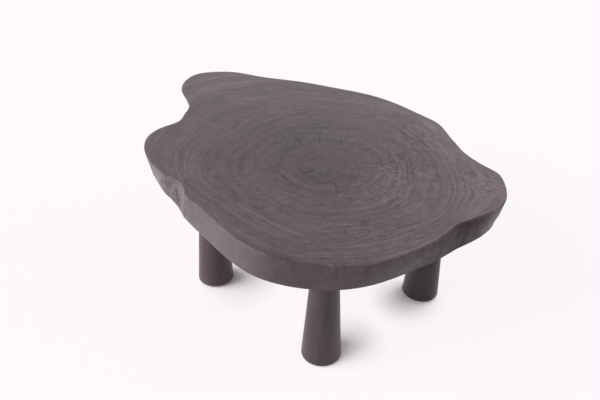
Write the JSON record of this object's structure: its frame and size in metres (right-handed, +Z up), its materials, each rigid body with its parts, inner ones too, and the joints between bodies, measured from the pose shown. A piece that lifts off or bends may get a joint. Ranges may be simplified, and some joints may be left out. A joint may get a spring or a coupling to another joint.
{
  "type": "live edge coffee table",
  "caption": "Low table: a thick cross-cut trunk slab with a natural wavy rim and growth rings, stained black, bolted to tapered round legs with glides.",
  "frame": {"origin": "on the floor, under the middle of the slab's bounding box", "axes": "+Z up; +Y along the slab's longest side, away from the single front leg; +X to its right"},
  "size_m": [0.9278, 1.0649, 0.38],
  "materials": {
    "ebonised_slab": "black stained open-pore end grain, satin",
    "ebonised_leg": "black stained turned wood, satin",
    "zinc_steel": "zinc plated",
    "insert_brass": "machined",
    "glide_nylon": "moulded",
    "nail_steel": "bright"
  },
  "bodies": {
    "root": {"slab_top": "ebonised_slab", "leg_front": "ebonised_leg", "leg_left": "ebonised_leg", "leg_right": "ebonised_leg", "leg_back": "ebonised_leg", "hanger_bolt_front": "zinc_steel", "hanger_bolt_left": "zinc_steel", "hanger_bolt_right": "zinc_steel", "hanger_bolt_back": "zinc_steel", "threaded_insert_front": "insert_brass", "threaded_insert_left": "insert_brass", "threaded_insert_right": "insert_brass", "threaded_insert_back": "insert_brass", "floor_glide_front": "glide_nylon", "floor_glide_left": "glide_nylon", "floor_glide_right": "glide_nylon", "floor_glide_back": "glide_nylon", "glide_nail_front": "nail_steel", "glide_nail_left": "nail_steel", "glide_nail_right": "nail_steel", "glide_nail_back": "nail_steel"}
  },
  "joints": []
}
